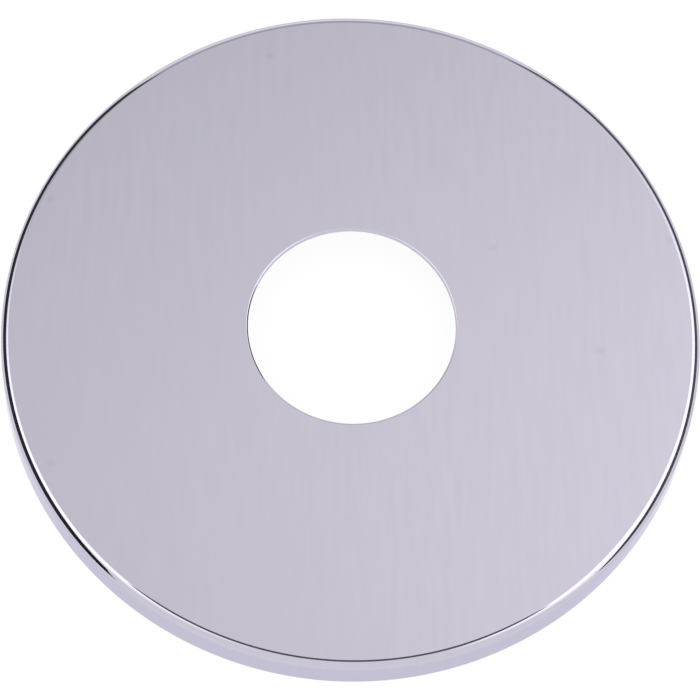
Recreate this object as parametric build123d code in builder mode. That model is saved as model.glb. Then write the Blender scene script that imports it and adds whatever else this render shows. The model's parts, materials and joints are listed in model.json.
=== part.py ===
"""Shower escutcheon: a round cover plate pressed from one thin sheet.

The plate covers the hole that a shower arm leaves in the wall. A flat face turns over a
small bend into a short, slightly flared skirt, and the trimmed rim of the skirt sits on the
wall. The arm passes through one plain punched hole in the middle of the face.

The origin is the centre of the rim, in the plane of the wall. +Z points out of the wall,
through the hole and out of the polished face. All sizes are millimetres and degrees.
"""

import math
import os

from build123d import *

# The plate as a whole
rim_diameter = 75.0  # over the skirt where it meets the wall
plate_height = 4.5  # from the wall to the polished face
sheet_thickness = 0.6  # of the sheet, the same in the face, the bend and the skirt

# The pressed edge
inside_bend_radius = 0.35  # between the back of the face and the inside of the skirt
skirt_draft = 4.7  # degrees that the skirt leans outwards towards the rim
rim_edge_break = 0.1  # bevel left on both edges of the rim by trimming and polishing

# The punched hole
hole_diameter = 22.1  # clears the shower arm
hole_roll_over = 0.2  # round that the punch draws into the front edge
hole_back_break = 0.1  # bevel that takes the burr off the back edge

# Sizes that follow from the ones above
rim_radius = rim_diameter / 2
hole_radius = hole_diameter / 2
outside_bend_radius = inside_bend_radius + sheet_thickness
flare_per_height = math.tan(math.radians(skirt_draft))
trim_allowance = sheet_thickness  # the skirt is drawn this much too long, then trimmed flat

# Where the outer faces of the plate and the skirt would meet without the bend, and where the
# outer face of the skirt ends before trimming
corner_radius = rim_radius - plate_height * flare_per_height
untrimmed_radius = rim_radius + trim_allowance * flare_per_height

with BuildPart() as escutcheon_plate:
    with BuildSketch(Plane.XZ) as section:
        # The outer skin of the sheet is thickened inwards, so that the wall keeps one thickness
        # round the bend
        with BuildLine():
            FilletPolyline(
                (hole_radius, plate_height),
                (corner_radius, plate_height),
                (untrimmed_radius, -trim_allowance),
                radius=outside_bend_radius,
            )
            offset(amount=sheet_thickness, side=Side.RIGHT)
        make_face()

        # The skirt is trimmed flat to the wall, and both edges of the rim are broken
        split(bisect_by=Plane.ZX)
        rim_corners = section.vertices().group_by(Axis.Y)[0]
        chamfer(rim_corners, length=rim_edge_break)

        # The punch rolls the front edge of the hole over, and the burr at the back is taken off
        hole_corners = section.vertices().group_by(Axis.X)[0].sort_by(Axis.Y)
        chamfer(hole_corners[0], length=hole_back_break)
        fillet(hole_corners[-1], radius=hole_roll_over)
    revolve(axis=Axis.Z)

escutcheon_plate.part.label = "escutcheon_plate"

os.makedirs("parts", exist_ok=True)
export_step(escutcheon_plate.part, "parts/escutcheon_plate.step")
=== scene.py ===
import json
import math

import bmesh
import bpy
from mathutils import Matrix, Vector


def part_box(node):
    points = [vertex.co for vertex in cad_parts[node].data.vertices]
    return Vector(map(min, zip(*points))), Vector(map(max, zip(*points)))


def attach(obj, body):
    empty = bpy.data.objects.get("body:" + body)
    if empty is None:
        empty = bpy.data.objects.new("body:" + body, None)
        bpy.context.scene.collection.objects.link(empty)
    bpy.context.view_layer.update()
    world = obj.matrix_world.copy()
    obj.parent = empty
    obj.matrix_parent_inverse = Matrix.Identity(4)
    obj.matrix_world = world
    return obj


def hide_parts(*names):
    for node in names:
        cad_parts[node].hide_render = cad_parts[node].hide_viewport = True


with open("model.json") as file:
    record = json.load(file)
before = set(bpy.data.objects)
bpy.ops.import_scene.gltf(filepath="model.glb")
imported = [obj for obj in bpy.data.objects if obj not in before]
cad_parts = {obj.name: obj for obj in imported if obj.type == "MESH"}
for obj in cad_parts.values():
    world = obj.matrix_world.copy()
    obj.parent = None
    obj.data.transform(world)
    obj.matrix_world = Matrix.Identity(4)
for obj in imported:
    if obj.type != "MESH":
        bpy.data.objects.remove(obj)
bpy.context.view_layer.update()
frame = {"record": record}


# Pressed plate
# A round cover plate of thin sheet, chrome plated, with a punched hole. Its edge is bent over a
# small radius into a short skirt that leans outwards, and the skirt is trimmed flat where it sits
# on the wall.
MM = 0.001
arm_hole = next(m for m in frame["record"]["mounts"] if m["name"] == "arm_hole")
face_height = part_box("escutcheon_plate")[1].z
hole_radius = arm_hole["dims"]["r_mm"] * MM
rim_radius = 37.5 * MM
sheet_thickness = 0.6 * MM
bend_radius = 0.95 * MM
skirt_draft = math.radians(4.7)
hole_roll_over = 0.2 * MM
edge_break = 0.1 * MM
trim_allowance = sheet_thickness

CHROME_DARK = (0.537, 0.512, 0.601)
CHROME_LIGHT = (0.559, 0.534, 0.623)
CHROME_EDGE_TINT = (0.78, 0.77, 0.87, 1)
CHROME_ROUGHNESS = (0.03, 0.05)
CHROME_LINES_PER_METRE = 1100
CHROME_BREAKS_PER_METRE = 130
SPOT_COLOUR = (0.42, 0.40, 0.47)
SPOTS_PER_METRE = 60
SPOT_STRENGTH = 0.3
SPOT_DEPTH = 0.004 * MM
BACK_DARK = (0.46, 0.45, 0.48)
BACK_LIGHT = (0.56, 0.55, 0.58)
BACK_ROUGHNESS = (0.24, 0.36)
BACK_LINES_PER_METRE = 900
BACK_BREAKS_PER_METRE = 30
BACK_SCRATCH_STRENGTH = 0.15
BACK_SCRATCH_DEPTH = 0.02 * MM
ROLLING_TURN = math.radians(5)
PATCHES_PER_METRE = 35

ROUND_STEPS = 384
BEND_STEPS = 28
HOLE_ROLL_STEPS = 8
RIM_BREAK_STEPS = 3
RING_SLACK = 0.002 * MM
SHARP_ANGLE = math.radians(40)

flare_per_height = math.tan(skirt_draft)
corner_radius = rim_radius - face_height * flare_per_height
untrimmed_radius = rim_radius + trim_allowance * flare_per_height
inner_rim_radius = rim_radius - sheet_thickness / math.cos(skirt_draft)
bend_setback = bend_radius * math.tan((math.pi / 2 - skirt_draft) / 2)


def select_rings(*places):
    """Selects the rings of edges that lie at each given radius and height."""
    bpy.ops.mesh.select_all(action="DESELECT")
    mesh = bmesh.from_edit_mesh(bpy.context.object.data)
    for edge in mesh.edges:
        for radius, height in places:
            if all(
                abs(vert.co.xy.length - radius) < RING_SLACK
                and abs(vert.co.z - height) < RING_SLACK
                for vert in edge.verts
            ):
                edge.select_set(True)
    bmesh.update_edit_mesh(bpy.context.object.data)


def draw_out(ring_radius, new_radius, drop):
    """Extrudes the selected ring to a new radius, and down by drop."""
    growth = new_radius / ring_radius
    bpy.ops.mesh.extrude_region()
    bpy.ops.transform.translate(value=(0, 0, -drop))
    bpy.ops.transform.resize(value=(growth, growth, 1), center_override=(0, 0, 0))


def add_node(tree, kind, inputs=None, **options):
    """Adds a shader node with its options, and sets or links its inputs."""
    node = tree.nodes.new("ShaderNode" + kind)
    for name, value in options.items():
        setattr(node, name, value)
    for name, value in (inputs or {}).items():
        if isinstance(value, bpy.types.NodeSocket):
            tree.links.new(value, node.inputs[name])
        else:
            node.inputs[name].default_value = value
    return node


def make_rolling_lines():
    """The long, faint, wavy lines that rolling leaves in sheet, in patches, as a mask."""
    group = bpy.data.node_groups.new("rolling_lines", "ShaderNodeTree")
    for name in ("Lines Per Metre", "Breaks Per Metre"):
        group.interface.new_socket(name, in_out="INPUT", socket_type="NodeSocketFloat")
    group.interface.new_socket("Lines", in_out="OUTPUT", socket_type="NodeSocketFloat")
    sizes = group.nodes.new("NodeGroupInput").outputs
    place = add_node(group, "TexCoord").outputs["Object"]
    turned = add_node(group, "Mapping", {"Vector": place, "Rotation": (0, 0, -ROLLING_TURN)})
    spread = add_node(
        group, "CombineXYZ", {"X": sizes["Lines Per Metre"], "Y": sizes["Breaks Per Metre"]}
    )
    drawn = add_node(
        group, "VectorMath", {0: turned.outputs["Vector"], 1: spread.outputs["Vector"]},
        operation="MULTIPLY",
    )
    grain = add_node(
        group, "TexNoise",
        {"Vector": drawn.outputs["Vector"], "Scale": 1, "Detail": 3, "Roughness": 0.6,
         "Distortion": 0.25},
    )
    strong = add_node(
        group, "MapRange",
        {"Value": grain.outputs["Fac"], "From Min": 0.3, "From Max": 0.7},
    )
    worn = add_node(
        group, "TexNoise",
        {"Vector": turned.outputs["Vector"], "Scale": PATCHES_PER_METRE, "Detail": 1},
    )
    patch = add_node(
        group, "MapRange",
        {"Value": worn.outputs["Fac"], "From Min": 0.35, "From Max": 0.65, "To Min": 0.45},
    )
    result = add_node(
        group, "Mix", {"Factor": patch.outputs["Result"], "A": 0.5, "B": strong.outputs["Result"]}
    )
    group.links.new(result.outputs["Result"], group.nodes.new("NodeGroupOutput").inputs["Lines"])
    return group


def place_rolling_lines(tree, lines_per_metre, breaks_per_metre):
    """Puts the rolling lines into a material, and returns their mask."""
    node = add_node(tree, "Group", node_tree=rolling_lines)
    node.inputs["Lines Per Metre"].default_value = lines_per_metre
    node.inputs["Breaks Per Metre"].default_value = breaks_per_metre
    return node.outputs["Lines"]


def blend_colours(tree, mask, low, high):
    """Mixes two colours by a mask."""
    mix = add_node(tree, "Mix", {"Factor": mask}, data_type="RGBA")
    for socket in mix.inputs:
        if socket.type == "RGBA":
            value = low if socket.name == "A" else high
            if isinstance(value, bpy.types.NodeSocket):
                tree.links.new(value, socket)
            else:
                socket.default_value = (*value, 1)
    return next(socket for socket in mix.outputs if socket.type == "RGBA")


def blend_values(tree, mask, low, high):
    """Runs a value from low to high by a mask."""
    blend = add_node(tree, "MapRange", {"Value": mask, "To Min": low, "To Max": high})
    return blend.outputs["Result"]


rolling_lines = make_rolling_lines()

polished_chrome = bpy.data.materials.new("polished_chrome")
polished_chrome.use_nodes = True
tree = polished_chrome.node_tree
shader = tree.nodes["Principled BSDF"]
shader.inputs["Metallic"].default_value = 1
shader.inputs["Specular Tint"].default_value = CHROME_EDGE_TINT
lines = place_rolling_lines(tree, CHROME_LINES_PER_METRE, CHROME_BREAKS_PER_METRE)
lined = blend_colours(tree, lines, CHROME_DARK, CHROME_LIGHT)
cells = add_node(
    tree, "TexVoronoi",
    {"Vector": add_node(tree, "TexCoord").outputs["Object"], "Scale": SPOTS_PER_METRE},
    voronoi_dimensions="2D",
)
near_spot = add_node(
    tree, "MapRange",
    {"Value": cells.outputs["Distance"], "From Min": 0.005, "From Max": 0.04,
     "To Min": 1, "To Max": 0},
    interpolation_type="SMOOTHSTEP",
)
spot_strength = add_node(
    tree, "MapRange",
    {"Value": cells.outputs["Color"], "From Min": 0.45, "From Max": 0.8, "To Max": SPOT_STRENGTH},
)
spots = add_node(
    tree, "Math", {0: near_spot.outputs["Result"], 1: spot_strength.outputs["Result"]},
    operation="MULTIPLY",
).outputs["Value"]
tree.links.new(blend_colours(tree, spots, lined, SPOT_COLOUR), shader.inputs["Base Color"])
tree.links.new(blend_values(tree, lines, *CHROME_ROUGHNESS), shader.inputs["Roughness"])
dents = add_node(tree, "Bump", {"Height": spots, "Distance": SPOT_DEPTH}, invert=True)
tree.links.new(dents.outputs["Normal"], shader.inputs["Normal"])

unpolished_back = bpy.data.materials.new("unpolished_back")
unpolished_back.use_nodes = True
tree = unpolished_back.node_tree
shader = tree.nodes["Principled BSDF"]
shader.inputs["Metallic"].default_value = 1
lines = place_rolling_lines(tree, BACK_LINES_PER_METRE, BACK_BREAKS_PER_METRE)
tree.links.new(blend_colours(tree, lines, BACK_DARK, BACK_LIGHT), shader.inputs["Base Color"])
tree.links.new(blend_values(tree, lines, *BACK_ROUGHNESS), shader.inputs["Roughness"])
scratches = add_node(
    tree, "Bump",
    {"Height": lines, "Strength": BACK_SCRATCH_STRENGTH, "Distance": BACK_SCRATCH_DEPTH},
)
tree.links.new(scratches.outputs["Normal"], shader.inputs["Normal"])

bpy.ops.object.select_all(action="DESELECT")
bpy.ops.mesh.primitive_circle_add(
    vertices=ROUND_STEPS, radius=hole_radius, location=(0, 0, face_height)
)
plate = bpy.context.object
plate.name = "polished_plate"
plate.data.materials.append(polished_chrome)
plate.data.materials.append(unpolished_back)
bpy.ops.object.transform_apply(location=True)
bpy.ops.object.mode_set(mode="EDIT")
bpy.ops.mesh.select_mode(type="EDGE")
bpy.ops.mesh.select_all(action="SELECT")
draw_out(hole_radius, corner_radius, 0)
draw_out(corner_radius, untrimmed_radius, face_height + trim_allowance)
select_rings((corner_radius, face_height))
bpy.ops.mesh.bevel(offset=bend_setback, segments=BEND_STEPS, profile=0.5)
bpy.ops.mesh.select_all(action="SELECT")
bpy.ops.mesh.normals_make_consistent(inside=False)
bpy.ops.object.mode_set(mode="OBJECT")

thickness = plate.modifiers.new("sheet", "SOLIDIFY")
thickness.thickness = sheet_thickness
thickness.offset = -1
thickness.use_even_offset = True
thickness.material_offset = 1
bpy.ops.object.modifier_apply(modifier=thickness.name)

bpy.ops.object.mode_set(mode="EDIT")
bpy.ops.mesh.select_all(action="SELECT")
bpy.ops.mesh.bisect(plane_co=(0, 0, 0), plane_no=(0, 0, 1), clear_inner=True)
bpy.ops.mesh.bridge_edge_loops()
select_rings((rim_radius, 0), (inner_rim_radius, 0))
bpy.ops.mesh.bevel(offset=edge_break, segments=RIM_BREAK_STEPS)
select_rings((hole_radius, face_height))
bpy.ops.mesh.bevel(offset=hole_roll_over, segments=HOLE_ROLL_STEPS)
select_rings((hole_radius, face_height - sheet_thickness))
bpy.ops.mesh.bevel(offset=edge_break, segments=1)
bpy.ops.object.mode_set(mode="OBJECT")

bpy.ops.object.shade_smooth_by_angle(angle=SHARP_ANGLE)
flat_shading = plate.modifiers.new("flat_shading", "WEIGHTED_NORMAL")
flat_shading.keep_sharp = True
flat_shading.weight = 100
bpy.ops.object.modifier_apply(modifier=flat_shading.name)

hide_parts("escutcheon_plate")
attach(plate, "root")


# Table
# A plain white table top under the plate. It is white to the camera and in the reflections, and
# takes a faint shadow from the plate.
TABLE_WIDTH = 40  # metres, past the edges of every view
TABLE_COLOUR = (0.12, 0.12, 0.12, 1)
TABLE_LEVEL_IN_METAL = 0.97
TABLE_LEVEL_TO_CAMERA = 0.905

bpy.ops.object.select_all(action="DESELECT")
bpy.ops.mesh.primitive_plane_add(size=TABLE_WIDTH, location=(0, 0, 0))
table = bpy.context.object
table.name = "table"
white_top = bpy.data.materials.new("white_top")
white_top.use_nodes = True
tree = white_top.node_tree
shader = tree.nodes["Principled BSDF"]
shader.inputs["Base Color"].default_value = TABLE_COLOUR
shader.inputs["Roughness"].default_value = 1
shader.inputs["Specular IOR Level"].default_value = 0
shader.inputs["Emission Color"].default_value = (1, 1, 1, 1)
ray = add_node(tree, "LightPath").outputs
glow = blend_values(tree, ray["Is Camera Ray"], TABLE_LEVEL_IN_METAL, TABLE_LEVEL_TO_CAMERA)
tree.links.new(glow, shader.inputs["Emission Strength"])
table.data.materials.append(white_top)


# Studio light
# Even white light all round. Two soft boxes hang over the plate to the left and right, and the
# back wall darkens upwards. They show only in the metal.

# A place in the room is a part of the direction to it, from -1 to 1. A range is low, high and
# softness
OPEN_LEVEL = 1.0
ROOM_SOFTNESS = 0.05
FRONT_LEVEL = 1.07
FRONT_EDGE = 0.17
CEILING_BRIGHT_SIDE = (0.83, -0.56, 0)
CEILING_DARK_PLACE, CEILING_DARK_LEVEL = -0.396, 0.835
CEILING_BRIGHT_PLACE, CEILING_BRIGHT_LEVEL = -0.016, 1.2
CEILING_MIDDLE = 0.36
CEILING_FALL = 0.93
BACK_WALL_ACROSS = (-0.5, 0.5, ROOM_SOFTNESS)
BACK_WALL_UP = (-0.1, 0.835, 0.035)
BACK_WALL_FRONT = 0.3
BACK_WALL_FOOT_LEVEL = 1.5
BACK_WALL_DARK_PLACE, BACK_WALL_DARK_LEVEL = 0.62, 0.59
LEFT_BOX_TURN = math.radians(-14)
LEFT_BOX_ACROSS = (-0.70, -0.235, ROOM_SOFTNESS)
LEFT_BOX_ALONG = (-0.26, 0.47, 0.24)
RIGHT_BOX_TURN = math.radians(-10)
RIGHT_BOX_ACROSS = (0.245, 0.80, ROOM_SOFTNESS)
RIGHT_BOX_ALONG = (-0.42, 0.48, 0.24)
BOX_LEVEL = 1.92


def soft_step(tree, value, edge, softness):
    """0 below the edge and 1 above it, with a soft change between."""
    return add_node(
        tree, "MapRange",
        {"Value": value, "From Min": edge - softness, "From Max": edge + softness},
        interpolation_type="SMOOTHSTEP",
    ).outputs["Result"]


def multiply(tree, *values):
    """The product of several values."""
    product = values[0]
    for value in values[1:]:
        step = add_node(tree, "Math", {0: product, 1: value}, operation="MULTIPLY")
        product = step.outputs["Value"]
    return product


def soft_range(tree, value, low, high, softness):
    """1 between low and high, and 0 outside, with soft edges."""
    below = add_node(
        tree, "Math", {0: 1.0, 1: soft_step(tree, value, high, softness)}, operation="SUBTRACT"
    )
    return multiply(tree, soft_step(tree, value, low, softness), below.outputs["Value"])


def soft_box(tree, direction, turn, across, along):
    """A soft box overhead, turned about the vertical."""
    turned = add_node(
        tree, "VectorRotate", {"Vector": direction, "Angle": turn}, rotation_type="Z_AXIS"
    )
    axes = add_node(tree, "SeparateXYZ", {"Vector": turned.outputs["Vector"]}).outputs
    return multiply(tree, soft_range(tree, axes["X"], *across), soft_range(tree, axes["Y"], *along))


def cover(tree, mask, under, over):
    """Lays one brightness over another where the mask is 1."""
    return add_node(tree, "Mix", {"Factor": mask, "A": under, "B": over}).outputs["Result"]


world = bpy.data.worlds.new("studio")
world.use_nodes = True
world.cycles.sampling_method = "NONE"
tree = world.node_tree
direction = add_node(tree, "TexCoord").outputs["Generated"]
towards = add_node(tree, "SeparateXYZ", {"Vector": direction}).outputs
right, back, up = towards["X"], towards["Y"], towards["Z"]

# The ceiling over the plate is brighter to the right and to the front
to_bright_side = add_node(
    tree, "VectorMath", {0: direction, 1: CEILING_BRIGHT_SIDE}, operation="DOT_PRODUCT"
).outputs["Value"]
ceiling = add_node(
    tree, "MapRange",
    {"Value": to_bright_side, "From Min": CEILING_DARK_PLACE, "From Max": CEILING_BRIGHT_PLACE,
     "To Min": CEILING_DARK_LEVEL, "To Max": CEILING_BRIGHT_LEVEL},
).outputs["Result"]
off_middle = add_node(
    tree, "Math", {0: back, 1: CEILING_MIDDLE}, operation="SUBTRACT"
).outputs["Value"]
evened = add_node(
    tree, "MapRange",
    {"Value": multiply(tree, off_middle, off_middle), "From Max": 0.02,
     "To Min": 1, "To Max": CEILING_FALL},
).outputs["Result"]
behind_front = soft_step(tree, back, FRONT_EDGE, ROOM_SOFTNESS)
room = cover(tree, behind_front, FRONT_LEVEL, multiply(tree, ceiling, evened))

back_wall = add_node(
    tree, "MapRange",
    {"Value": up, "From Min": 0, "From Max": BACK_WALL_DARK_PLACE,
     "To Min": BACK_WALL_FOOT_LEVEL, "To Max": BACK_WALL_DARK_LEVEL},
).outputs["Result"]
back_mask = multiply(
    tree,
    soft_range(tree, right, *BACK_WALL_ACROSS),
    soft_step(tree, back, BACK_WALL_FRONT, ROOM_SOFTNESS),
    soft_range(tree, up, *BACK_WALL_UP),
)
room = cover(tree, back_mask, room, back_wall)

left_box = soft_box(tree, direction, LEFT_BOX_TURN, LEFT_BOX_ACROSS, LEFT_BOX_ALONG)
room = cover(tree, left_box, room, BOX_LEVEL)
right_box = soft_box(tree, direction, RIGHT_BOX_TURN, RIGHT_BOX_ACROSS, RIGHT_BOX_ALONG)
room = cover(tree, right_box, room, BOX_LEVEL)

ray = add_node(tree, "LightPath").outputs
level = cover(tree, ray["Is Glossy Ray"], OPEN_LEVEL, room)
tree.links.new(level, tree.nodes["Background"].inputs["Strength"])
tree.nodes["Background"].inputs["Color"].default_value = (1, 1, 1, 1)
bpy.context.scene.world = world


# Edge cards
# Narrow strips of dark card stand close round the rim and in the hole, and one lies over the near
# side, all out of the camera's sight. The rounded edges mirror them as the thin dark lines that
# draw a chrome edge.
CARD_STEPS = 360
CARD_TAPER = 10
card_top_radius = rim_radius - 0.7 * MM
card_foot_radius = rim_radius - 0.2 * MM
near_card_height = 0.4 * MM
hole_card_radius = hole_radius - 0.2 * MM


def turn_from(start, place):
    """The degrees round the axis from start to a place, from just under 0 to 360."""
    return (math.degrees(math.atan2(place.y, place.x)) - start + 0.5) % 360 - 0.5


def height_at(middle, rise, along):
    """The height of an edge that runs level half way along, and rises or falls to its ends."""
    return face_height + middle + rise * (2 * along - 1) ** 3


def edge_card(name, start, end, tone, upper_radius, upper, lower_radius, lower):
    """A strip of card, cut to a range of angles and narrowed at its ends. Each of its two edges has
    a radius, a height over the face half way along, and a rise from there to its end."""
    bpy.ops.object.select_all(action="DESELECT")
    bpy.ops.mesh.primitive_circle_add(vertices=CARD_STEPS, radius=upper_radius)
    card = bpy.context.object
    card.name = name
    bpy.ops.object.mode_set(mode="EDIT")
    bpy.ops.mesh.select_mode(type="EDGE")
    bpy.ops.mesh.select_all(action="SELECT")
    draw_out(upper_radius, lower_radius, 0)
    mesh = bmesh.from_edit_mesh(card.data)
    for vert in mesh.verts:
        along = min(max(turn_from(start, vert.co) / (end - start), 0), 1)
        place = Vector((upper_radius, height_at(*upper, along)))
        if vert.select:
            bottom = Vector((lower_radius, height_at(*lower, along)))
            place = bottom.lerp(place, abs(2 * along - 1) ** CARD_TAPER)
        vert.co.xy *= place.x / vert.co.xy.length
        vert.co.z = place.y
    bpy.ops.mesh.select_mode(type="FACE")
    bpy.ops.mesh.select_all(action="DESELECT")
    for face in mesh.faces:
        face.select_set(not 0 < turn_from(start, face.calc_center_median()) < end - start)
    bmesh.update_edit_mesh(card.data)
    bpy.ops.mesh.delete(type="FACE")
    bpy.ops.object.mode_set(mode="OBJECT")
    board = bpy.data.materials.new(name)
    board.use_nodes = True
    shader = board.node_tree.nodes["Principled BSDF"]
    shader.inputs["Base Color"].default_value = (tone, tone, tone, 1)
    shader.inputs["Roughness"].default_value = 1
    shader.inputs["Specular IOR Level"].default_value = 0
    card.data.materials.append(board)
    card.visible_camera = False
    card.visible_diffuse = False
    card.visible_transmission = False
    card.visible_shadow = False


edge_card(
    "near_card", start=235.5, end=309, tone=0.26,
    upper_radius=rim_radius - 0.9 * MM, upper=(near_card_height, 0),
    lower_radius=rim_radius - 1.25 * MM, lower=(near_card_height, 0),
)
edge_card(
    "left_card", start=129.5, end=237, tone=0.11,
    upper_radius=card_top_radius, upper=(0.2 * MM, -0.5 * MM),
    lower_radius=card_foot_radius, lower=(-0.3 * MM, -0.3 * MM),
)
edge_card(
    "right_card", start=-42.5, end=67, tone=0.28,
    upper_radius=card_top_radius, upper=(0.2 * MM, 0.4 * MM),
    lower_radius=card_foot_radius, lower=(-0.2 * MM, 0.2 * MM),
)
edge_card(
    "hole_card", start=160, end=220, tone=0.08,
    upper_radius=hole_card_radius, upper=(0.35 * MM, 0.4 * MM),
    lower_radius=hole_card_radius, lower=(-0.35 * MM, 0.1 * MM),
)


# Camera
# Looks down on the plate from the front, rolled a little, as a hand-held product shot is.
# The plate nearly fills the frame.
camera_elevation = math.radians(68.40)
camera_distance = 250.8 * MM
camera_roll = math.radians(5.15)
aim = Vector((0.02 * MM, -2.87 * MM, face_height))

bpy.ops.object.camera_add()
camera = bpy.context.object
camera.data.lens = 121.43
camera.data.sensor_width = 36
camera.data.clip_start = 0.01
camera.location = (
    0,
    -camera_distance * math.cos(camera_elevation),
    face_height + camera_distance * math.sin(camera_elevation),
)
facing = (aim - camera.location).to_track_quat("-Z", "Y").to_matrix().to_4x4()
camera.matrix_world = (
    Matrix.Translation(camera.location) @ facing @ Matrix.Rotation(camera_roll, 4, "Z")
)
bpy.context.scene.camera = camera
bpy.context.scene.view_settings.view_transform = "Standard"
